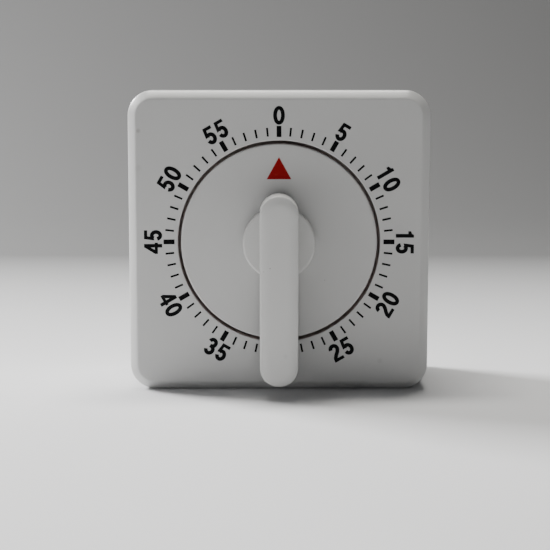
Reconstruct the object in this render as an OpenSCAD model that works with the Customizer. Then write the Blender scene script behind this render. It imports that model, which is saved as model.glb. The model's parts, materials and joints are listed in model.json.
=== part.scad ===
// Mechanical sixty-minute timer: a square moulded case with a lever-turned dial,
// a mainspring, a wheel train with a pallet escapement, and a bell struck at zero.
// Sub-parts are drawn in the dial's own axes, x to the right, y up and z towards the user,
// with zero on the dial axis in the plane of the case front, and place() stands them on the bench.

/* [Case] */
// Width and height of the square case
case_w = 76; // [75.6:0.2:78]
// Depth of the case from its front face to its back face
case_d = 35; // [35:0.5:38]
// Radius of the case corners seen from the front
corner_r = 6.4; // [6:0.1:6.8]
// Radius of the rounded front and back edges
edge_r = 2.2; // [1.8:0.1:2.3]
// Wall thickness of the mouldings
wall = 2.2; // [2:0.1:2.4]

/* [Dial] */
// Radius of the round opening that the dial turns in
well_r = 25.5; // [25.3:0.1:25.7]
// Depth of that opening
well_depth = 5; // [4.8:0.1:5.2]
// Radial gap around the dial
dial_gap = 0.8; // [0.6:0.05:0.9]
// How far the dial stands proud of the case
dial_proud = 0.2; // [0.1:0.1:0.5]

/* [Lever] */
// Width of the lever bar
lever_w = 9.7; // [9.4:0.1:10]
// Reach of the short end above the axis
lever_short = 12.5; // [12:0.1:13.4]
// Reach of the long end below the axis
lever_long = 34.9; // [34:0.1:35.4]
// How far the lever front stands before the case
lever_front = 13; // [12.5:0.1:13.4]
// Radius of the round boss under the lever
hub_r = 9.1; // [8.6:0.1:9.6]
// Height of that boss before the case
hub_front = 4.2; // [3.8:0.1:4.8]

/* [Wheel train] */
// Teeth of the main wheel
main_teeth = 60; // [60]
// Teeth of the second and third wheels
train_teeth = 48; // [48]
// Leaves of every pinion
leaves = 8; // [8]
// Teeth of the escape wheel
escape_teeth = 15; // [15]

/* [Bell] */
// Outer radius of the bell at its rim
bell_r = 16; // [15.6:0.1:16.2]
// Thickness of the bell metal
bell_t = 0.8; // [0.6:0.1:1]

/* [Hidden] */
$fn = 64;

whole_depth = case_d + lever_front;
half = case_w / 2;
inner = half - wall;
core = half - corner_r;            // half width of the flat part of each side
eps = 0.02;

// levels, from the case front towards the back
front_wall = 2.4;
well_floor = -well_depth - 1.8;
split_z = -27;                     // where the front case meets the rear cover
back_z = -case_d;
plate_t = 1;
front_plate_z = -10;
rear_plate_z = -23;
gap_top = front_plate_z;           // the space between the plates
gap_low = rear_plate_z + plate_t;
bell_low = -31.2;                  // the flat outer face of the bell
bell_bend = 6;
bell_rim = bell_low + bell_bend + 1;

// fastening places
boss_at = [31.4, 31.4];
boss_r = 4.6;
post_at = [[-21.5, 22.5], [21.5, 22.5], [0, -31.5]];
pillar_at = [[-23.5, -26.5], [23.5, -26.5], [-23.5, 12], [23.5, 12]];

// gearing: module of each pair, and the arbors of the train
main_m = 0.55;
second_m = 0.45;
third_m = 0.4;
second_at = [-15.32, -10.73];
third_at = [-7.22, -20.38];
escape_at = [3.98, -20.38];
pallet_at = [11.5, -22.4];
balance_at = [19.2, -18.8];
strike_at = [12.02, 14.33];
hammer_at = [13.4, 22.2];
head_at = [14.96, -0.71];
release_at = [-13.5, 16];
bell_at = [-4, -2];
spring_post_at = [-9, 7.5];
click_at = [8.6, 0];

// thickness bands of the moving pieces, each as [low z, height]
cam_z = [-11.6, 1];
main_z = [-13.2, 1.2];
main_leaf_z = [-13.4, 1.6];
ratchet_z = [-14.3, 1.05];
middle_z = [-15.7, 1];
middle_leaf_z = [-15.9, 1.4];
inner_z = [-18, 1];
inner_leaf_z = [-18.2, 1.4];

// running fits
arbor_r = 2;
pivot_r = 0.5;
fit = 0.05;

// the dial's travel: a tab under the disc runs from one side of a post in the well to the other
stop_r = 21;
stop_angle = 270;
stop_step = 3;

// colours
white = [0.86, 0.86, 0.84];
brass = [0.8, 0.63, 0.3];
steel = [0.66, 0.67, 0.69];
spring_blue = [0.3, 0.33, 0.42];
nickel = [0.78, 0.77, 0.74];

function polar(r, a) = [r * cos(a), r * sin(a)];
function angle_of(p) = atan2(p[1], p[0]);

// Points of a toothed outline: half widths at root and tip are shares of half the pitch
function tooth_outline(n, root_r, tip_r, root_share, tip_share) = [
  for (i = [0:n - 1])
    for (corner = [[root_r, -root_share], [tip_r, -tip_share], [tip_r, tip_share], [root_r, root_share]])
      polar(corner[0], 360 / n * i + 180 / n * corner[1])
];

// The angle that sets a pinion's gap on a wheel's tooth, with the pinion at a given bearing
function mesh_phase(n1, phase1, n2, bearing) =
  bearing + 180 + (bearing - phase1) * n1 / n2 + 180 / n2;

second_phase = mesh_phase(main_teeth, 0, leaves, angle_of(second_at));
third_phase = mesh_phase(train_teeth, 0, leaves, angle_of(third_at - second_at));
escape_phase = mesh_phase(train_teeth, 0, leaves, angle_of(escape_at - third_at));
strike_phase = mesh_phase(main_teeth, 0, leaves, angle_of(strike_at));

// Points of a flat spiral strip, out along one side and back along the other
function spiral_strip(r0, r1, turns, t, steps, start) = concat(
  [for (i = [0:turns * steps]) spiral_point(r0, r1, i / steps, turns, t / 2, start)],
  [for (i = [turns * steps:-1:0]) spiral_point(r0, r1, i / steps, turns, -t / 2, start)]
);

function spiral_point(r0, r1, turn, turns, offset, start) =
  polar(r0 + (r1 - r0) * turn / turns + offset, start + 360 * turn);

module place() {
  translate([0, lever_front - whole_depth / 2, half])
    rotate([90, 0, 0])
      children();
}

module at(p) {
  translate([p[0], p[1], 0])
    children();
}

module rod(r, z0, z1) {
  translate([0, 0, z0])
    cylinder(r = r, h = z1 - z0);
}

module band(z) {
  translate([0, 0, z[0]])
    linear_extrude(z[1])
      children();
}

// A flat bar with round ends from p to q
module link(p, q, w) {
  d = q - p;
  translate(p)
    rotate(angle_of(d)) {
      translate([0, -w / 2])
        square([norm(d), w]);
      circle(w / 2);
      translate([norm(d), 0])
        circle(w / 2);
    }
}

module rounded_square(h, r) {
  square([2 * h, 2 * (h - r)], center = true);
  square([2 * (h - r), 2 * h], center = true);
  for (x = [-1, 1], y = [-1, 1])
    translate([x * (h - r), y * (h - r)])
      circle(r);
}

// Section of the case side, outwards from the flat core, rounded at its front edge
module edge_profile(depth) {
  translate([0, -depth])
    square([corner_r, depth - edge_r]);
  translate([0, -edge_r - eps])
    square([corner_r - edge_r, edge_r + eps]);
  intersection() {
    translate([corner_r - edge_r, -edge_r])
      circle(edge_r);
    translate([0, -edge_r - eps])
      square([corner_r, 2 * edge_r]);
  }
}

// A square block with rounded corners and a rounded front edge, its front at z 0
module soft_block(depth) {
  translate([-core, -core, -depth])
    cube([2 * core, 2 * core, depth]);
  for (a = [0:90:270])
    rotate(a) {
      translate([core, core, 0])
        rotate([90, 0, 0])
          linear_extrude(2 * core)
            edge_profile(depth);
      translate([core, core, 0])
        rotate_extrude(angle = 90)
          edge_profile(depth);
    }
}

module corners() {
  for (x = [-1, 1], y = [-1, 1])
    translate([x * boss_at[0], y * boss_at[1], 0])
      children();
}

module front_shell() {
  difference() {
    soft_block(-split_z);
    translate([0, 0, split_z - 1])
      linear_extrude(-split_z + 1 - front_wall)
        rounded_square(inner, corner_r - wall);
  }
}

module front_case() {
  color(white)
    place()
      difference() {
        union() {
          front_shell();
          rod(well_r + 1.8, well_floor, -1);
          corners()
            rod(boss_r, split_z, -1);
          for (p = post_at)
            at(p)
              rod(2.8, front_plate_z + plate_t, -1);
        }
        difference() {
          rod(well_r, -well_depth, 1);
          at(polar(stop_r, stop_angle))
            rod(0.6, -well_depth - 1, -3);
        }
        rod(3, well_floor - 1, 0);
        corners()
          rod(1.5, split_z - 1, -11);
        for (p = post_at)
          at(p)
            rod(1.15, front_plate_z, -4);
      }
}

module rear_cover() {
  color(white)
    place()
      difference() {
        union() {
          difference() {
            translate([0, 0, back_z])
              mirror([0, 0, 1])
                soft_block(split_z - back_z);
            translate([0, 0, back_z + wall])
              linear_extrude(-back_z)
                rounded_square(inner, corner_r - wall);
          }
          corners()
            rod(boss_r, back_z + 1, split_z);
          for (a = [0:90:270])
            rotate(a)
              translate([inner - 1.6, -20, back_z + 1])
                cube([1.4, 40, split_z - back_z + 1.5]);
        }
        corners() {
          rod(1.7, back_z - 1, split_z + 1);
          rod(3.1, back_z - 1, back_z + 2.4);
        }
        for (i = [-2:2])
          translate([0, 0, back_z - 1])
            linear_extrude(wall + 2)
              link([-11, 5 * i], [11, 5 * i], 2);
      }
}

// A pan-head screw with a cross recess, its head towards the back
module screw(head_r, head_h, shank_r, seat_z, tip_z) {
  difference() {
    union() {
      rod(head_r, seat_z - head_h, seat_z);
      rod(shank_r, seat_z - eps, tip_z);
    }
    for (a = [0, 90])
      rotate(a)
        translate([-head_r * 0.6, -head_r * 0.11, seat_z - head_h - 1])
          cube([head_r * 1.2, head_r * 0.22, 1 + head_h * 0.6]);
  }
}

module cover_screws() {
  color(steel)
    place()
      corners()
        screw(2.9, 2, 1.45, back_z + 2.4, -12);
}

module movement_screws() {
  color(steel)
    place()
      for (p = post_at)
        at(p)
          screw(2.2, 1.3, 1.1, front_plate_z, -5);
}

module front_plate() {
  color(brass)
    place()
      difference() {
        band([front_plate_z, plate_t])
          union() {
            translate([-26, -29])
              square([52, 55]);
            link([0, -24], post_at[2], 6);
          }
        for (p = post_at)
          at(p)
            rod(1.25, -12, -8);
        for (p = pillar_at)
          at(p)
            rod(1.05, -12, -8);
        rod(3.45, -12, -8);
        for (p = [second_at, third_at, escape_at, strike_at, hammer_at])
          at(p)
            rod(pivot_r + fit, -12, -8);
        for (p = [pallet_at, balance_at])
          at(p)
            rod(0.35 + fit, -12, -8);
        at(release_at)
          rod(0.6, -12, -8);
      }
}

module rear_plate() {
  color(brass)
    place()
      difference() {
        band([rear_plate_z, plate_t])
          difference() {
            translate([-26, -29])
              square([52, 55]);
            for (x = [-1, 1])
              translate([x * 22.6 - 4, 19.2])
                square([8, 8]);
          }
        for (p = pillar_at)
          at(p)
            rod(0.85, -25, -21);
        rod(1.06, -25, -21);
        for (p = [second_at, third_at, escape_at, strike_at])
          at(p)
            rod(pivot_r + fit, -25, -21);
        for (p = [pallet_at, balance_at])
          at(p)
            rod(0.35 + fit, -25, -21);
        at(hammer_at)
          rod(0.65, -25, -21);
        at(spring_post_at)
          rod(0.62, -25, -21);
        at(bell_at)
          rod(0.82, -25, -21);
        at(balance_at + polar(5.6, 60))
          rod(0.42, -25, -21);
      }
}

module plate_pillars() {
  color(steel)
    place()
      for (p = pillar_at)
        at(p)
          difference() {
            union() {
              rod(1.6, gap_low, gap_top);
              rod(1, gap_top - eps, gap_top + plate_t);
            }
            rod(0.8, gap_low - 1, gap_low + 4);
          }
}

module plate_screws() {
  color(steel)
    place()
      for (p = pillar_at)
        at(p)
          screw(1.7, 1, 0.75, rear_plate_z, -19);
}

module arbor_bush() {
  color(brass)
    place()
      difference() {
        union() {
          rod(3.4, front_plate_z - 0.4, front_plate_z + plate_t + eps);
          rod(4.4, front_plate_z + plate_t, front_plate_z + plate_t + 0.8);
        }
        rod(arbor_r + fit, -12, -7);
      }
}

module spring_post() {
  color(steel)
    place()
      at(spring_post_at) {
        rod(0.9, gap_low, -16);
        rod(0.6, rear_plate_z, gap_low + eps);
      }
}

module mainspring() {
  color(spring_blue)
    place()
      difference() {
        band([-21.3, 4.9])
          union() {
            polygon(spiral_strip(2.7, 10.7, 7, 0.35, 24, 140.2));
            link(polar(10.7, 140.2), spring_post_at, 0.5);
          }
        at(spring_post_at)
          rod(0.95, -22, -15);
      }
}

// Half section of the bell, or of its hollow when t is the metal's thickness
module bell_section(t) {
  translate([0, bell_low + t])
    square([bell_r - bell_bend, bell_bend + 1 - t]);
  translate([0, bell_low + bell_bend])
    square([bell_r - t, 1]);
  intersection() {
    translate([bell_r - bell_bend, bell_low + bell_bend])
      circle(bell_bend - t);
    translate([0, bell_low])
      square([bell_r, bell_bend]);
  }
}

module bell() {
  color(nickel)
    place()
      at(bell_at)
        rotate_extrude()
          difference() {
            bell_section(0);
            translate([0, eps])
              bell_section(bell_t);
            translate([0, bell_low - 0.8])
              square([1.1, 2]);
            translate([0, bell_rim - eps])
              square([bell_r - bell_t, 1]);
          }
}

module bell_stud() {
  color(steel)
    place()
      at(bell_at)
        difference() {
          union() {
            rod(1.6, bell_low + bell_t + eps, rear_plate_z);
            rod(0.8, rear_plate_z - eps, gap_low);
          }
          rod(0.95, -32, -27);
        }
}

module bell_screw() {
  color(steel)
    place()
      at(bell_at)
        screw(2.2, 0.9, 0.9, bell_low, -27.5);
}

module hairspring() {
  color(spring_blue)
    place()
      at(balance_at)
        band([-20.2, 0.6])
          difference() {
            union() {
              polygon(spiral_strip(1, 5.1, 5, 0.14, 24, 60));
              link(polar(5.1, 60), polar(5.6, 60), 0.2);
            }
            translate(polar(5.6, 60))
              circle(0.45);
          }
}

module hairspring_stud() {
  color(steel)
    place()
      at(balance_at + polar(5.6, 60)) {
        rod(0.42, gap_low, -19.4);
        rod(0.38, rear_plate_z, gap_low + eps);
      }
}

// One side of a helical wire: rings of points joined into a tube
module coil(r, wire, turns, pitch, steps) {
  rings = turns * steps;
  sides = 6;
  points = [
    for (i = [0:rings])
      for (k = [0:sides - 1])
        let (a = 360 * i / steps, w = polar(wire, 360 * k / sides))
          [(r + w[0]) * cos(a), (r + w[0]) * sin(a), pitch * i / steps + w[1]]
  ];
  faces = concat(
    [[for (k = [0:sides - 1]) k]],
    [
      for (i = [0:rings - 1])
        for (k = [0:sides - 1])
          let (next = (k + 1) % sides)
            [i * sides + k, (i + 1) * sides + k, (i + 1) * sides + next, i * sides + next]
    ],
    [[for (k = [sides - 1:-1:0]) rings * sides + k]]
  );
  polyhedron(points, faces);
}

module hammer_spring() {
  color(spring_blue)
    place()
      at(hammer_at)
        translate([0, 0, -21.4])
          coil(1.5, 0.2, 4, 0.75, 16);
}

module release_pivot() {
  color(steel)
    place()
      at(release_at) {
        rod(0.9, front_plate_z - 1.6, front_plate_z);
        rod(1.5, front_plate_z - 2, front_plate_z - 1.6 + eps);
        rod(0.55, front_plate_z - eps, front_plate_z + plate_t);
      }
}

module release_spring() {
  color(spring_blue)
    place() {
      band([-11.5, 0.8])
        link([-17.6, 23.4], [-4.5, 19.35], 0.35);
      at([-17.6, 23.4])
        rod(0.7, -11.6, front_plate_z);
    }
}

// The dial: a flat disc with a skirt, a boss on the arbor and the stop tab
module dial_disc() {
  disc_r = well_r - dial_gap;
  skirt_r = disc_r - 1.8;
  color(white)
    place()
      difference() {
        union() {
          difference() {
            rod(disc_r, -4.2, dial_proud);
            rod(skirt_r, -5, -1.6);
          }
          rod(4.6, -4.4, -1);
          rotate(stop_angle - stop_step)
            translate([stop_r - 0.7, -0.45, -4.6])
              cube([skirt_r + 0.4 - stop_r + 0.7, 0.9, 3.4]);
        }
        band([-6, 8])
          arbor_section(arbor_r + 0.03);
      }
}

// Section of the arbor's front end: round with one flat
module arbor_section(r) {
  intersection() {
    circle(r);
    translate([-r, -r])
      square([2 * r - 0.6, 2 * r]);
  }
}

// A bar with round ends and a rounded front edge, over the axis
module lever_bar() {
  w = lever_w / 2;
  soft = 0.9;
  span = lever_short + lever_long - lever_w;
  base = 1.6;
  translate([0, lever_short - w, 0]) {
    rotate_extrude(angle = 180)
      lever_edge(w, soft, base);
    translate([0, -span, 0])
      rotate([0, 0, 180])
        rotate_extrude(angle = 180)
          lever_edge(w, soft, base);
    for (side = [0, 1])
      mirror([side, 0, 0])
        rotate([90, 0, 0])
          linear_extrude(span)
            lever_edge(w, soft, base);
  }
}

module lever_edge(w, soft, base) {
  translate([0, base])
    square([w, lever_front - base - soft]);
  translate([0, lever_front - soft - eps])
    square([w - soft, soft + eps]);
  intersection() {
    translate([w - soft, lever_front - soft])
      circle(soft);
    translate([0, lever_front - soft - eps])
      square([w, 2 * soft]);
  }
}

module handle() {
  color(white)
    place()
      difference() {
        union() {
          lever_bar();
          rod(hub_r, dial_proud, hub_front - 0.5);
          rotate_extrude() {
            translate([0, hub_front - 0.6])
              square([hub_r - 0.5, 0.6]);
            intersection() {
              translate([hub_r - 0.5, hub_front - 0.5])
                circle(0.5);
              translate([0, hub_front - 0.6])
                square([hub_r, 0.6]);
            }
          }
        }
        band([-1, 9.1])
          arbor_section(arbor_r + 0.03);
        translate([-2.9, -lever_long + 1.8 + 2.9, 0])
          cube([5.8, lever_long - hub_r - 1.8 - 2.9 - 1, lever_front - 1.8]);
      }
}

module main_arbor() {
  color(steel)
    place() {
      rod(arbor_r, -21.8, -5.5);
      band([-5.5 - eps, 13.5])
        arbor_section(arbor_r);
      rod(1, -22.9, -21.8 + eps);
    }
}

module release_cam() {
  color(brass)
    place()
      band(cam_z)
        difference() {
          circle(7);
          circle(arbor_r + 0.03);
          rotate(90)
            translate([5.2, -1.9])
              square([3, 3.8]);
        }
}

module clutch_washer() {
  color(spring_blue)
    place()
      band([-11.98, 0.36])
        difference() {
          circle(3.8);
          circle(arbor_r + 0.03);
        }
}

// A spoked wheel: teeth, rim, crossings and a bore
module toothed_wheel(n, m, z, bore, spokes, phase) {
  r = n * m / 2;
  rim = r - 1.15 * m - 1.3;
  band(z)
    difference() {
      rotate(phase)
        polygon(tooth_outline(n, r - 1.15 * m, r + 0.75 * m, 0.5, 0.22));
      circle(bore);
      rotate(phase)
        crossings(rim, bore + rim * 0.28, spokes);
    }
}

// Openings between the spokes of a wheel
module crossings(rim, hub, spokes) {
  difference() {
    circle(rim);
    circle(hub);
    for (i = [0:spokes - 1])
      rotate(360 / spokes * i)
        translate([0, -0.6])
          square([rim + 1, 1.2]);
  }
}

// A pinion cut on its arbor, with a pivot at each end
module pinion_arbor(m, z, body_r, phase) {
  r = leaves * m / 2;
  band(z)
    rotate(phase)
      polygon(tooth_outline(leaves, r - 1.1 * m, r + 0.5 * m, 0.4, 0.2));
  rod(body_r, gap_low + 0.2, gap_top - 0.2);
  pivots(pivot_r);
}

module pivots(r) {
  rod(r, rear_plate_z + 0.1, gap_top + plate_t - 0.1);
}

module main_wheel() {
  color(brass)
    place()
      difference() {
        toothed_wheel(main_teeth, main_m, main_z, arbor_r + fit, 4, 0);
        at(click_at)
          rod(0.65, -14, -11);
      }
}

module ratchet_wheel() {
  color(steel)
    place()
      band(ratchet_z)
        difference() {
          polygon([
            for (i = [0:11])
              for (corner = [[5.2, 0], [4.2, 3]])
                polar(corner[0], 30 * i + corner[1])
          ]);
          circle(arbor_r + 0.03);
        }
}

module click_pin() {
  color(steel)
    place()
      at(click_at) {
        rod(0.6, -14.4, -12);
        rod(1.1, -14.55, -14.35);
      }
}

// The click lies along the ratchet wheel with its nose by the tooth face
module click() {
  color(steel)
    place()
      band([-14.2, 0.85])
        difference() {
          union() {
            translate(click_at)
              circle(1.5);
            polygon([[9.9, 0.4], [7.6, 4.9], [3.9, 6], [3.5, 4.1], [6.6, 2.9], [7.4, 0.6]]);
          }
          translate(click_at)
            circle(0.68);
        }
}

module click_spring() {
  color(spring_blue)
    place() {
      band([-14.1, 0.6])
        link([11.4, -3.2], [8.9, 5.4], 0.3);
      at([11.4, -3.2])
        rod(0.6, -14.2, -13.2);
    }
}

module arbor_clip() {
  color(steel)
    place()
      band([-14.65, 0.3])
        difference() {
          circle(3.3);
          circle(arbor_r + 0.03);
          translate([-4, -0.9])
            square([4, 1.8]);
        }
}

module second_wheel() {
  color(brass)
    place()
      at(second_at)
        toothed_wheel(train_teeth, second_m, middle_z, 0.93, 4, 0);
}

module second_pinion() {
  color(steel)
    place()
      at(second_at)
        pinion_arbor(main_m, main_leaf_z, 0.9, second_phase);
}

module third_wheel() {
  color(brass)
    place()
      at(third_at)
        toothed_wheel(train_teeth, third_m, inner_z, 0.83, 4, 0);
}

module third_pinion() {
  color(steel)
    place()
      at(third_at)
        pinion_arbor(second_m, middle_leaf_z, 0.8, third_phase);
}

module escape_wheel() {
  color(brass)
    place()
      at(escape_at)
        band(middle_z)
          difference() {
            polygon([
              for (i = [0:escape_teeth - 1])
                for (corner = [[4.1, 0], [5.5, 4], [5.5, 6], [4.1, 11]])
                  polar(corner[0], 360 / escape_teeth * i + corner[1])
            ]);
            circle(0.73);
            crossings(3.3, 1.5, 3);
          }
}

module escape_pinion() {
  color(steel)
    place()
      at(escape_at)
        pinion_arbor(third_m, inner_leaf_z, 0.7, escape_phase);
}

// The pallet lever: two arms that reach over the escape wheel, and a fork for the balance pin
module pallet_lever() {
  to_wheel = angle_of(escape_at - pallet_at);
  to_balance = angle_of(balance_at - pallet_at);
  color(steel)
    place()
      at(pallet_at)
        band([-15.6, 0.8])
          difference() {
            union() {
              circle(1.4);
              for (side = [-1, 1])
                rotate(to_wheel + side * 62) {
                  link([0, 0], [5.2, 0], 1.1);
                  link([5.2, 0], [5.9, -side * 0.5], 0.9);
                }
              rotate(to_balance) {
                link([0, 0], [4.6, 0], 1);
                link([4.6, 0], [5.8, 0.75], 0.5);
                link([4.6, 0], [5.8, -0.75], 0.5);
              }
            }
            circle(0.63);
          }
}

module pallet_arbor() {
  color(steel)
    place()
      at(pallet_at) {
        rod(0.6, gap_low + 0.2, gap_top - 0.2);
        pivots(0.35);
      }
}

module balance_wheel() {
  color(brass)
    place()
      at(balance_at)
        band(inner_z)
          difference() {
            circle(6.5);
            circle(0.63);
            crossings(5.4, 1.4, 3);
          }
}

module balance_staff() {
  color(steel)
    place()
      at(balance_at) {
        rod(0.6, gap_low + 0.2, gap_top - 0.2);
        pivots(0.35);
      }
}

module balance_roller() {
  color(brass)
    place()
      at(balance_at) {
        band([-16.6, 0.5])
          difference() {
            circle(2.5);
            circle(0.63);
          }
        at(polar(2, angle_of(pallet_at - balance_at)))
          rod(0.25, -16.2, -14.9);
      }
}

module strike_wheel() {
  color(brass)
    place()
      at(strike_at)
        band(middle_z)
          difference() {
            polygon([
              for (i = [0:5])
                for (corner = [[4, 0], [6, 8], [6, 14], [4, 30]])
                  polar(corner[0], 60 * i + corner[1])
            ]);
            circle(0.93);
          }
}

module strike_pinion() {
  color(steel)
    place()
      at(strike_at)
        pinion_arbor(main_m, main_leaf_z, 0.9, strike_phase);
}

module hammer() {
  color(steel)
    place() {
      band([-24.6, 0.9])
        difference() {
          union() {
            translate(hammer_at)
              circle(1.9);
            link(hammer_at, head_at, 2.2);
          }
          translate(hammer_at)
            circle(0.62);
        }
      at(head_at)
        rod(1.8, -28, -24.6 + eps);
    }
}

module hammer_arbor() {
  color(steel)
    place()
      at(hammer_at) {
        rod(0.8, gap_low + 0.2, gap_top - 0.2);
        rod(pivot_r, gap_top - 0.3, gap_top + plate_t - 0.1);
        rod(0.6, -24.8, gap_low + 0.3);
      }
}

// The tail that the star wheel lifts, with a horn that the release lever holds
module hammer_tail() {
  elbow = [18.6, 20.8];
  color(brass)
    place()
      band([-15.6, 0.8])
        difference() {
          union() {
            translate(hammer_at)
              circle(1.8);
            link(hammer_at, elbow, 1.3);
            link(elbow, [18.8, 16.5], 1);
            link(hammer_at, [8.6, 21], 1.2);
          }
          translate(hammer_at)
            circle(0.83);
        }
}

// The release lever rides on the cam and drops into its notch at zero
module release_lever() {
  color(steel)
    place() {
      band([-11.5, 0.8])
        difference() {
          union() {
            translate(release_at)
              circle(1.8);
            link(release_at, [-1, 11.2], 1.8);
            link([-1, 11.2], [0, 8.1], 1.6);
            link(release_at, [5.6, 20.8], 1.6);
          }
          translate(release_at)
            circle(0.95);
        }
      translate([5, 20.2, -15.6])
        cube([1.2, 1.2, 4.5]);
    }
}

front_case();
rear_cover();
cover_screws();
movement_screws();
front_plate();
rear_plate();
plate_pillars();
plate_screws();
arbor_bush();
spring_post();
mainspring();
bell();
bell_stud();
bell_screw();
hairspring();
hairspring_stud();
hammer_spring();
release_pivot();
release_spring();
dial_disc();
handle();
main_arbor();
release_cam();
clutch_washer();
main_wheel();
ratchet_wheel();
click_pin();
click();
click_spring();
arbor_clip();
second_wheel();
second_pinion();
third_wheel();
third_pinion();
escape_wheel();
escape_pinion();
pallet_lever();
pallet_arbor();
balance_wheel();
balance_staff();
balance_roller();
strike_wheel();
strike_pinion();
hammer();
hammer_arbor();
hammer_tail();
release_lever();
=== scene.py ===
# A square white bench timer: moulded case, printed minute scale, lever-turned dial and its clockwork.
# Shapes are drawn in the dial's own axes in millimetres, x to the right, y up, z towards the user,
# and standOnBench() places them in the frame.
import json
import math
import bmesh
import bpy
from mathutils import Matrix, Vector


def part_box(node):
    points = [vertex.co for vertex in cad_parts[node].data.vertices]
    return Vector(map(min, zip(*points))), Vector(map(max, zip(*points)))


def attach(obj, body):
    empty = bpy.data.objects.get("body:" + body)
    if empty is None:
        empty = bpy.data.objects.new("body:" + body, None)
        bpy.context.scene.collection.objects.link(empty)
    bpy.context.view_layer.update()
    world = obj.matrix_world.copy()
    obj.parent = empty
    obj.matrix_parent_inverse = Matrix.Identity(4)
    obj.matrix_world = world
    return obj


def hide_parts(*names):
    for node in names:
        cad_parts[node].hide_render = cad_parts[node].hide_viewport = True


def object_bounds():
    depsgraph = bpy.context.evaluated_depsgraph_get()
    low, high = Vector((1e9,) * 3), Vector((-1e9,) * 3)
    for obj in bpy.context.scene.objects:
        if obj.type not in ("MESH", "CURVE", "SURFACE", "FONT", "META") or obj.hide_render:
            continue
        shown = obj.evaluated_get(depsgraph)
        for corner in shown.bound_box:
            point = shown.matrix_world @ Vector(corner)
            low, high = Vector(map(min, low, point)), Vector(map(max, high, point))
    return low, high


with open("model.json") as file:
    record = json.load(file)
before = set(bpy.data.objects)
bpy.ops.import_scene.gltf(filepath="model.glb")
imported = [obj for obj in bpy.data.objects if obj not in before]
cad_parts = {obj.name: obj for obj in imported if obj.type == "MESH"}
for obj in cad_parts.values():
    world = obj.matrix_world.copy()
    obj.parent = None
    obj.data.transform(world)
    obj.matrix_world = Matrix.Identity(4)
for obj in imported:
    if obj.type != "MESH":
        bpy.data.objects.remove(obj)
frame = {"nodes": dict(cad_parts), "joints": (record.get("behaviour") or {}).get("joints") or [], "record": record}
cornerSigns = ((-1, -1), (-1, 1), (1, -1), (1, 1))
cadLow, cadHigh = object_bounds()
caseLow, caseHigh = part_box("front_case")
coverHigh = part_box("rear_cover")[1]
dialLow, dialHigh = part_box("dial_disc")
handleLow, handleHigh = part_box("handle")
dialJoint = next(j for j in frame["joints"] if j["name"] == "dial_turn")
dialAxis = Vector((dialJoint["pos_m"][0], caseLow[1], dialJoint["pos_m"][2]))
bench = Matrix.Translation(dialAxis) @ Matrix.Rotation(math.radians(90), 4, "X") @ Matrix.Scale(0.001, 4)


def inMillimetres(metres):
    return metres * 1000


def standOnBench(mesh):
    mesh.transform(bench)
    return mesh


def addObject(name, mesh):
    piece = bpy.data.objects.new(name, mesh)
    bpy.context.scene.collection.objects.link(piece)
    return piece


# Smooth faces, with the edges above an angle kept sharp
def shadeSmooth(mesh, sharpAngle):
    for face in mesh.polygons:
        face.use_smooth = True
    mesh.set_sharp_from_angle(angle=math.radians(sharpAngle))


def meshFromBmesh(name, bm, material, sharpAngle=32):
    bmesh.ops.remove_doubles(bm, verts=bm.verts, dist=1e-5)
    bmesh.ops.dissolve_degenerate(bm, edges=bm.edges, dist=1e-6)
    bmesh.ops.recalc_face_normals(bm, faces=bm.faces)
    mesh = bpy.data.meshes.new(name)
    bm.to_mesh(mesh)
    bm.free()
    mesh.materials.append(material)
    shadeSmooth(mesh, sharpAngle)
    return mesh


# Rings of points with equal counts, joined by quads, and capped unless the rings form a closed loop
def addLoft(bm, rings, closedLoop=False, capped=True):
    rows = [[bm.verts.new(p) for p in ring] for ring in rings]
    count = len(rings[0])
    pairs = list(zip(rows, rows[1:]))
    if closedLoop:
        pairs.append((rows[-1], rows[0]))
    for low, high in pairs:
        for k in range(count):
            n = (k + 1) % count
            bm.faces.new((low[k], low[n], high[n], high[k]))
    if capped and not closedLoop:
        bm.faces.new(rows[0][::-1])
        bm.faces.new(rows[-1])


def circleRing(radius, z, angles):
    return [(radius * math.cos(a), radius * math.sin(a), z) for a in angles]


def evenAngles(count):
    return [2 * math.pi * k / count for k in range(count)]


def addLathe(bm, outline, count=160, closedLoop=True, centre=(0, 0)):
    angles = evenAngles(count)
    rings = [[(x + centre[0], y + centre[1], z) for x, y, z in circleRing(r, z, angles)] for r, z in outline]
    addLoft(bm, rings, closedLoop)


def ovalArc(centre, rx, ry, startDeg, endDeg, steps=20):
    angles = [math.radians(startDeg + (endDeg - startDeg) * k / steps) for k in range(steps + 1)]
    return [(centre[0] + rx * math.cos(a), centre[1] + ry * math.sin(a)) for a in angles]


def arcPoints(centre, radius, startDeg, endDeg, steps):
    return ovalArc(centre, radius, radius, startDeg, endDeg, steps)


def roundedSquareRing(half, radius, z, sideSteps=40, cornerSteps=14):
    points = []
    core = half - radius
    for quarter in range(4):
        turn = Matrix.Rotation(math.radians(90 * quarter), 2)
        side = [(half, -core + 2 * core * k / sideSteps) for k in range(sideSteps)]
        corner = arcPoints((core, core), radius, 0, 90, cornerSteps)[:-1]
        points += [tuple(turn @ Vector(p)) + (z,) for p in side + corner]
    return points


# The piece with its modifiers applied, as a new plain mesh
def evaluatedCopy(piece, name=None):
    graph = bpy.context.evaluated_depsgraph_get()
    mesh = bpy.data.meshes.new_from_object(piece.evaluated_get(graph))
    mesh.name = name or piece.name
    return mesh


# An exact boolean of two temporary pieces, applied; the other one is removed
def combine(base, other, operation):
    cut = base.modifiers.new("cut", "BOOLEAN")
    cut.operation = operation
    cut.solver = "EXACT"
    cut.object = other
    mesh = evaluatedCopy(base)
    base.modifiers.clear()
    base.data = mesh
    bpy.data.objects.remove(other)
    return base


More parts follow.
